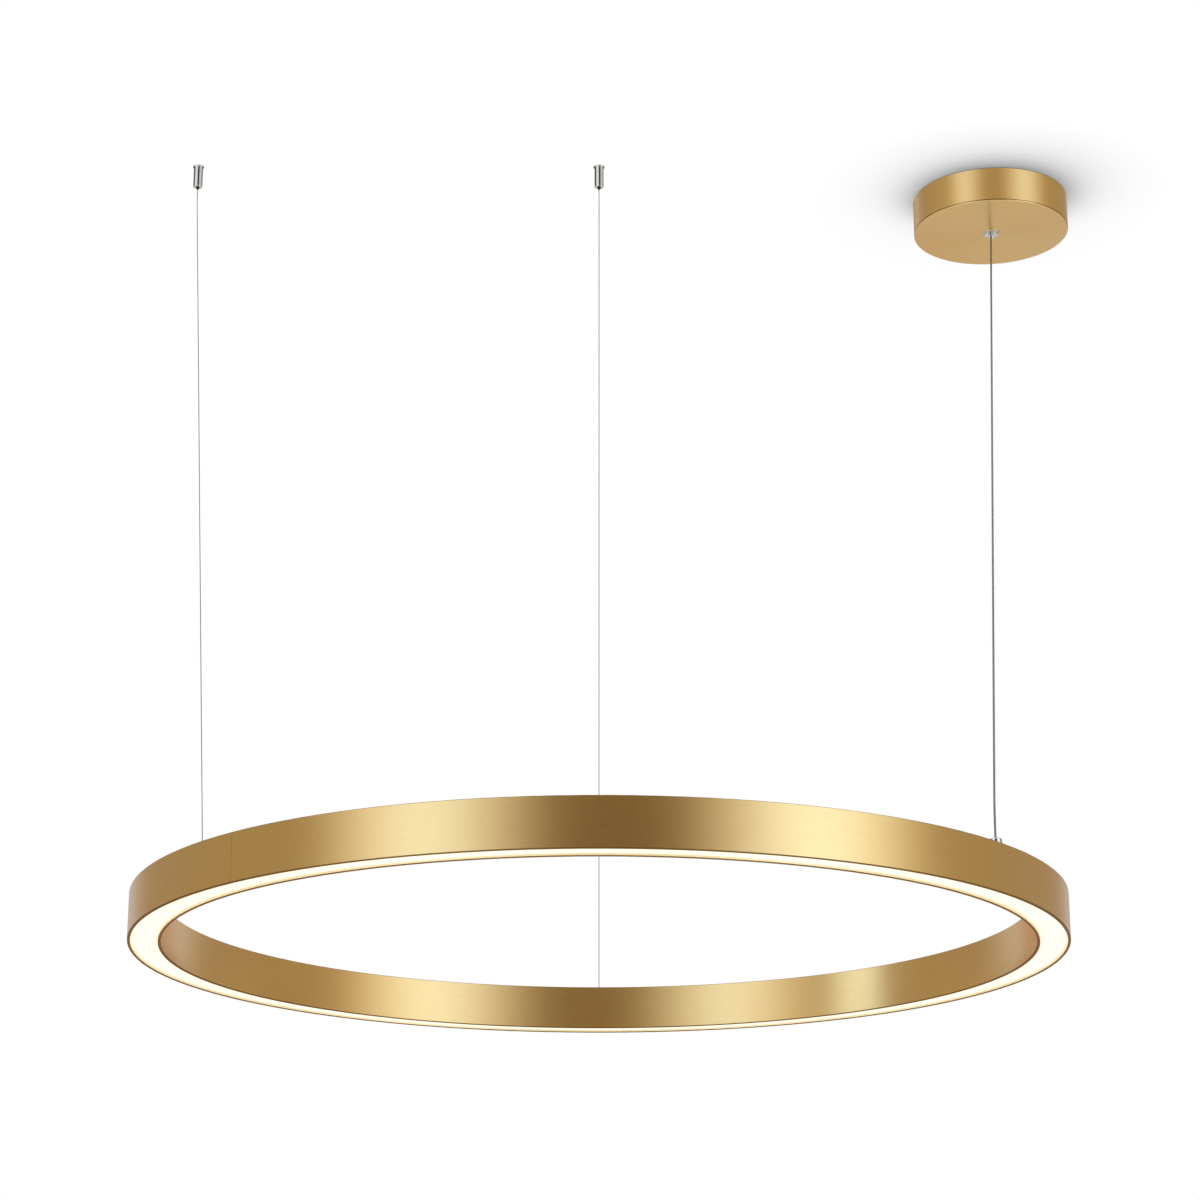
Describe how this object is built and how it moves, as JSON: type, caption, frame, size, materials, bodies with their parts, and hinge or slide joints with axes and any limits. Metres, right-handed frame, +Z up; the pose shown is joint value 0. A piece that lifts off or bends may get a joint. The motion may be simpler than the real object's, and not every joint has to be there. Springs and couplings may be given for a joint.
{
  "type": "led ring chandelier",
  "caption": "Ring of light: a brushed brass channel with an opal strip underneath, hung level from a row of ceiling fittings by steel wires and a feed cable.",
  "frame": {"origin": "middle of the centre anchor's face, on the ceiling", "axes": "+Z up to the ceiling, +X along the row of ceiling fittings towards the canopy"},
  "size_m": [1.0519, 0.9999, 0.913],
  "materials": {
    "brass_channel": "rolled profile, brushed along its length and anodised in a brass colour",
    "brass_canopy": "spun cover, brushed and anodised in a brass colour",
    "opal": "opal acrylic, lit warm white from behind",
    "chrome": "polished",
    "dark_steel": "blackened",
    "steel_wire": "stranded",
    "cable_jacket": "clear grey jacket over twisted cores",
    "spring_steel": "drawn",
    "raw_aluminium": "mill finish",
    "strip_board": "white flexible board",
    "phosphor": "phosphor in silicone",
    "zinc_screw": "zinc plated",
    "plate_steel": "galvanised sheet",
    "driver_case": "moulded",
    "terminal_plastic": "moulded",
    "plain_brass": "turned",
    "lead_jacket": "extruded"
  },
  "bodies": {
    "root": {"ring_channel": "brass_channel", "diffuser": "opal", "splice_plate": "raw_aluminium", "splice_screws": "zinc_screw", "led_carrier": "raw_aluminium", "carrier_screws": "zinc_screw", "led_strip": "strip_board", "led_phosphor": "phosphor", "wire_bush_left": "chrome", "wire_stop_left": "plain_brass", "wire_bush_centre": "chrome", "wire_stop_centre": "plain_brass", "anchor_cap_left": "chrome", "gripper_body_left": "chrome", "grip_spring_left": "spring_steel", "suspension_wire_left": "steel_wire", "anchor_cap_centre": "chrome", "gripper_body_centre": "chrome", "grip_spring_centre": "spring_steel", "suspension_wire_centre": "steel_wire", "feed_gland_body": "chrome", "feed_gland_cap": "chrome", "feed_gland_nut": "plain_brass", "ring_connector": "terminal_plastic", "ring_lead": "lead_jacket", "feed_cable": "cable_jacket", "mounting_plate": "plate_steel", "led_driver": "driver_case", "driver_screws": "zinc_screw", "terminal_block": "terminal_plastic", "terminal_screws": "zinc_screw", "terminal_fixing_screw": "zinc_screw", "cable_block": "raw_aluminium", "cable_block_screw": "dark_steel", "driver_input_lead": "lead_jacket", "driver_output_lead": "cable_jacket"},
    "canopy": {"canopy_cover": "brass_canopy", "gland_washer": "chrome", "gland_nut": "plain_brass", "cord_grip": "chrome"},
    "plunger_left": {"grip_collet_left": "dark_steel", "grip_balls_left": "zinc_screw"},
    "plunger_centre": {"grip_collet_centre": "dark_steel", "grip_balls_centre": "zinc_screw"}
  },
  "joints": [
    {"name": "canopy_slide", "type": "slide", "parent": "root", "child": "canopy", "axis": [-0.082, -0.3994, -0.9131], "range_m": [0, 0.12]},
    {"name": "release_left", "type": "slide", "parent": "root", "child": "plunger_left", "axis": [0, 0, 1], "range_m": [0, 0.002], "stiffness_N_per_m": 600, "springref_m": -0.003, "deforming": ["grip_spring_left"]},
    {"name": "release_centre", "type": "slide", "parent": "root", "child": "plunger_centre", "axis": [0, 0, 1], "range_m": [0, 0.002], "stiffness_N_per_m": 600, "springref_m": -0.003, "deforming": ["grip_spring_centre"]}
  ]
}
